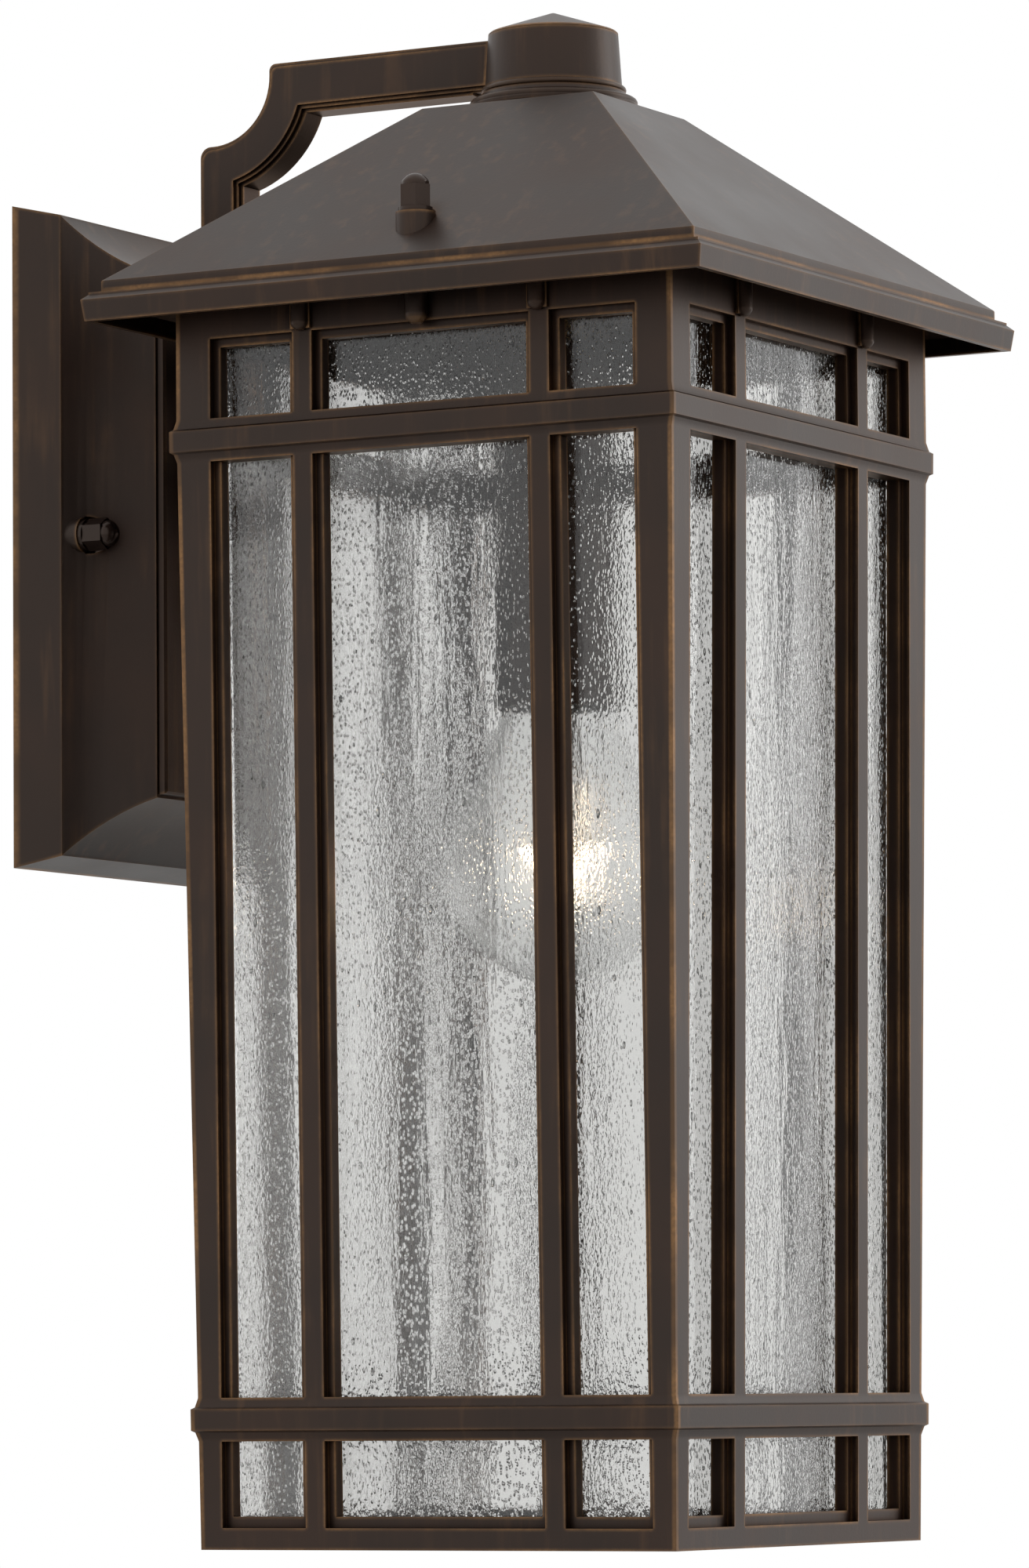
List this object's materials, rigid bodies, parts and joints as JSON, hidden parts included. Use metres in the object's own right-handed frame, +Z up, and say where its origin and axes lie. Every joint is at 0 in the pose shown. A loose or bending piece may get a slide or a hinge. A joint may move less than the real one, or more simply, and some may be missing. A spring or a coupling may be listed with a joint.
{
  "type": "outdoor wall lantern",
  "caption": "Square glazed wall lantern with a hip roof, hung from a swept arm on a coved wall plate, with a removable cage and a screw-in bulb.",
  "frame": {"origin": "on the wall, at the centre of the back of the wall plate", "axes": "+Y into the wall, +Z up, +X to the right seen from the front; the lantern stands out towards -Y"},
  "size_m": [0.1886, 0.2353, 0.4196],
  "materials": {
    "bronze": "oil-rubbed bronze coat over a casting, rubbed through to copper along the edges",
    "zinc": "zinc plated",
    "earth_green": "green passivated",
    "brass": "plain brass",
    "foam": "closed-cell foam",
    "porcelain": "glazed porcelain",
    "seeded_glass": "clear seeded glass with small bubbles",
    "bulb_glass": "clear smooth glass",
    "bulb_base_metal": "bright rolled thread",
    "filament": "tungsten wire",
    "lead_sheath": "plain insulated wire",
    "copper": "bare copper"
  },
  "bodies": {
    "fixture": {"box_strap": "zinc", "stud_strap": "zinc", "strap_rivet": "zinc", "ground_screw": "earth_green", "plate_studs": "brass", "stud_lock_nuts": "zinc", "wall_gasket": "foam", "wall_plate": "bronze", "arm": "bronze", "arm_screws": "zinc", "arm_nipple": "brass", "arm_nipple_nut": "brass", "cap_drum": "bronze", "cap_lid": "bronze", "cap_collar": "bronze", "stem_nipple": "brass", "stem_nuts": "brass", "roof": "bronze", "lampholder_sleeve": "bronze", "lampholder_body": "porcelain", "screw_shell": "brass", "centre_contact": "brass", "supply_leads": "lead_sheath", "earth_lead": "copper"},
    "cage": {"cage_front": "bronze", "cage_rear": "bronze", "cage_left": "bronze", "cage_right": "bronze", "cage_studs": "brass", "glass_front": "seeded_glass", "glass_rear": "seeded_glass", "glass_left": "seeded_glass", "glass_right": "seeded_glass", "glass_clips": "zinc", "clip_screws": "zinc"},
    "bulb_rise": {"bulb_tip": "brass"},
    "bulb": {"bulb_globe": "bulb_glass", "bulb_base": "bulb_base_metal", "bulb_stem": "bulb_glass", "bulb_filament": "filament"},
    "wall_washer_left": {"wall_washer_left": "bronze"},
    "wall_washer_right": {"wall_washer_right": "bronze"},
    "roof_washer_left": {"roof_washer_left": "bronze"},
    "roof_washer_right": {"roof_washer_right": "bronze"},
    "wall_nut_left": {"wall_nut_left": "bronze"},
    "wall_nut_right": {"wall_nut_right": "bronze"},
    "roof_nut_left": {"roof_nut_left": "bronze"},
    "roof_nut_right": {"roof_nut_right": "bronze"}
  },
  "joints": [
    {"name": "cage_drop", "type": "slide", "parent": "fixture", "child": "cage", "axis": [0, 0, -1], "range_m": [0, 0.2]},
    {"name": "bulb_travel", "type": "slide", "parent": "fixture", "child": "bulb_rise", "axis": [0, 0, -1], "range_m": [0, 0.0218]},
    {"name": "bulb_turn", "type": "hinge", "parent": "bulb_rise", "child": "bulb", "pos_m": [0, -0.141, -0.0442], "axis": [0, 0, -1], "range_deg": [0, 2160]},
    {"name": "roof_nut_left_travel", "type": "slide", "parent": "fixture", "child": "roof_washer_left", "axis": [0, 0, 1], "range_m": [0, 0.00476]},
    {"name": "roof_nut_left_turn", "type": "hinge", "parent": "roof_washer_left", "child": "roof_nut_left", "pos_m": [-0.077, -0.141, 0.0769], "axis": [0, 0, 1], "range_deg": [0, 2160.2]},
    {"name": "wall_nut_left_travel", "type": "slide", "parent": "fixture", "child": "wall_washer_left", "axis": [0, -1, 0], "range_m": [0, 0.00476]},
    {"name": "wall_nut_left_turn", "type": "hinge", "parent": "wall_washer_left", "child": "wall_nut_left", "pos_m": [-0.047, -0.0194, 0], "axis": [0, -1, 0], "range_deg": [0, 2160.2]},
    {"name": "roof_nut_right_travel", "type": "slide", "parent": "fixture", "child": "roof_washer_right", "axis": [0, 0, 1], "range_m": [0, 0.00476]},
    {"name": "roof_nut_right_turn", "type": "hinge", "parent": "roof_washer_right", "child": "roof_nut_right", "pos_m": [0.077, -0.141, 0.0769], "axis": [0, 0, 1], "range_deg": [0, 2160.2]},
    {"name": "wall_nut_right_travel", "type": "slide", "parent": "fixture", "child": "wall_washer_right", "axis": [0, -1, 0], "range_m": [0, 0.00476]},
    {"name": "wall_nut_right_turn", "type": "hinge", "parent": "wall_washer_right", "child": "wall_nut_right", "pos_m": [0.047, -0.0194, 0], "axis": [0, -1, 0], "range_deg": [0, 2160.2]}
  ],
  "couplings": [
    {"joint": "bulb_travel", "follows": "bulb_turn", "m_per_rad": 0.0005775},
    {"joint": "roof_nut_left_turn", "follows": "roof_nut_left_travel", "rad_per_m": 7915.8},
    {"joint": "wall_nut_left_turn", "follows": "wall_nut_left_travel", "rad_per_m": 7915.8},
    {"joint": "roof_nut_right_turn", "follows": "roof_nut_right_travel", "rad_per_m": 7915.8},
    {"joint": "wall_nut_right_turn", "follows": "wall_nut_right_travel", "rad_per_m": 7915.8}
  ]
}
